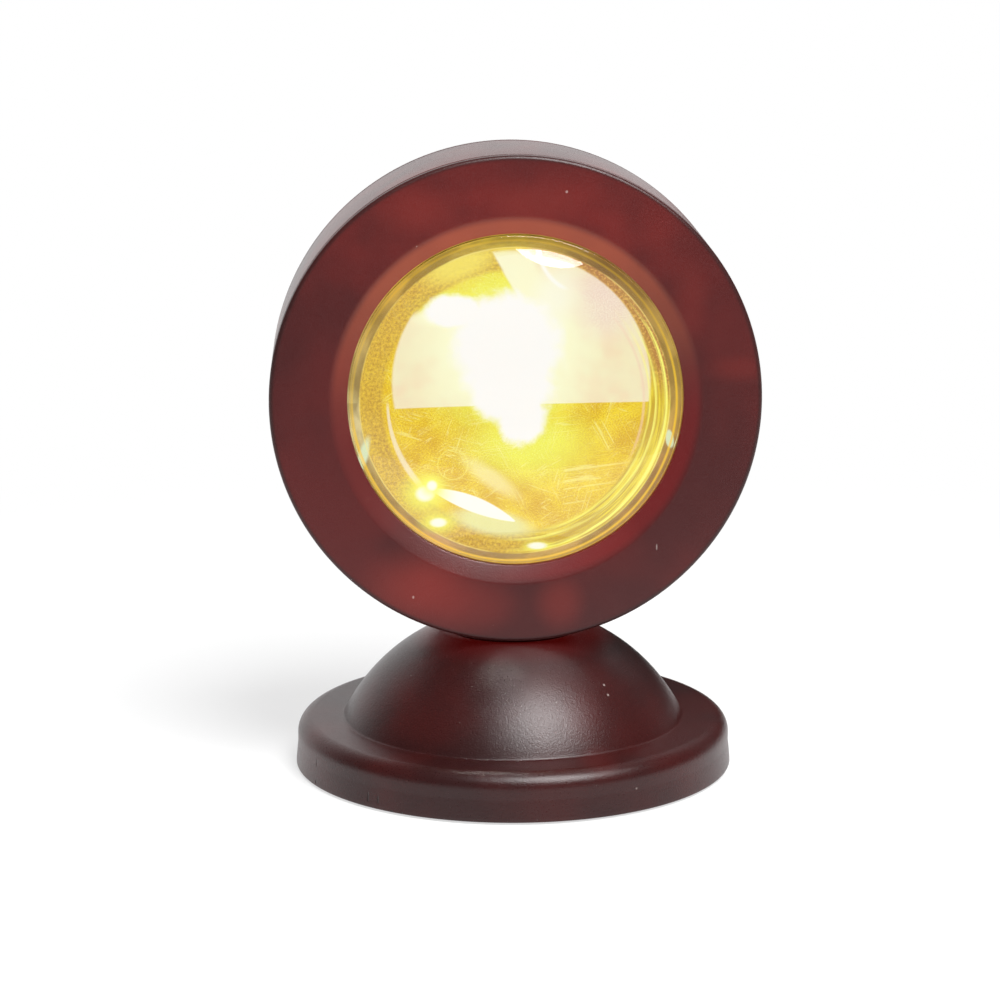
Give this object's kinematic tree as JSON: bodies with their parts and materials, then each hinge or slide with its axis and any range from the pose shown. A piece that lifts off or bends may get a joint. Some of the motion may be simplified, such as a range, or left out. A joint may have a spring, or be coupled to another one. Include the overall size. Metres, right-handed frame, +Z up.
{
  "type": "sunset projection lamp",
  "caption": "Small desk projection lamp with a round drum head and domed lens, tilting on a swivel neck above a domed round base with a battery door.",
  "frame": {"origin": "middle of the base, at the underside of its feet", "axes": "+Z up; the lens faces -Y at rest; +X is to the right as one looks at the lens"},
  "size_m": [0.085, 0.0778, 0.1102],
  "materials": {
    "mahogany_plastic": "translucent dark red-brown moulding with a fine grain",
    "clear_acrylic": "polished clear acrylic",
    "gold_film": "metallised amber film",
    "white_plastic": "satin white",
    "black_plastic": "matt black",
    "aluminium": "plain",
    "steel": "zinc plated",
    "nickel": "nickel plated spring steel",
    "brass": "plain",
    "green_board": "coated circuit board",
    "phosphor": "yellow phosphor",
    "rubber": "soft black",
    "nylon": "natural white",
    "cell_jacket": "plain jacket",
    "red_lead": "smooth",
    "black_lead": "smooth",
    "grey_lead": "smooth"
  },
  "bodies": {
    "base": {"base_shell": "mahogany_plastic", "bottom_plate": "mahogany_plastic", "pan_washer": "nylon", "ballast_ring": "steel", "battery_lead_minus": "black_lead", "battery_lead_plus": "red_lead", "cell_1": "cell_jacket", "contact_spring_1": "nickel", "base_screw_1": "steel", "cell_2": "cell_jacket", "contact_spring_2": "nickel", "base_screw_2": "steel", "cell_3": "cell_jacket", "contact_spring_3": "nickel", "base_screw_3": "steel", "foot_pad_1": "rubber", "foot_pad_2": "rubber", "foot_pad_3": "rubber", "foot_pad_4": "rubber", "contact_single_rear": "nickel", "contact_bridge_rear": "nickel", "contact_single_front": "nickel", "contact_bridge_front": "nickel"},
    "neck": {"neck_bracket": "mahogany_plastic", "spring_washer": "steel", "swivel_nut": "brass", "neck_lead": "grey_lead"},
    "head": {"front_bezel": "mahogany_plastic", "drum_shell": "mahogany_plastic", "rear_cover": "mahogany_plastic", "lens": "clear_acrylic", "colour_film": "gold_film", "film_ring": "black_plastic", "light_tube": "white_plastic", "tube_screw_1": "steel", "tube_screw_2": "steel", "tube_screw_3": "steel", "led_board": "aluminium", "led_emitter": "phosphor", "heat_sink": "aluminium", "sink_screw_1": "steel", "sink_screw_2": "steel", "driver_board": "green_board", "driver_chip": "black_plastic", "driver_coil": "black_plastic", "switch_body": "black_plastic", "head_screw_1": "steel", "head_screw_2": "steel", "head_screw_3": "steel", "tilt_pin": "steel", "tilt_washer_left": "nylon", "tilt_washer_right": "nylon", "head_lead": "grey_lead", "led_lead": "red_lead", "switch_lead": "black_lead"},
    "button": {"switch_button": "black_plastic"},
    "door": {"battery_door": "mahogany_plastic"}
  },
  "joints": [
    {"name": "head_pan", "type": "hinge", "parent": "base", "child": "neck", "pos_m": [0, 0, 0.0247], "axis": [0, 0, 1], "range_deg": [-170, 170]},
    {"name": "head_tilt", "type": "hinge", "parent": "neck", "child": "head", "pos_m": [0, 0.013, 0.0291], "axis": [-1, 0, 0], "range_deg": [0, 80]},
    {"name": "switch_press", "type": "slide", "parent": "head", "child": "button", "axis": [0, -1, 0], "range_m": [0, 0.0015], "stiffness_N_per_m": 400, "springref_m": -0.001},
    {"name": "battery_door_hinge", "type": "hinge", "parent": "base", "child": "door", "pos_m": [0, 0.0236, 0.00095], "axis": [1, 0, 0], "range_deg": [0, 75]}
  ]
}
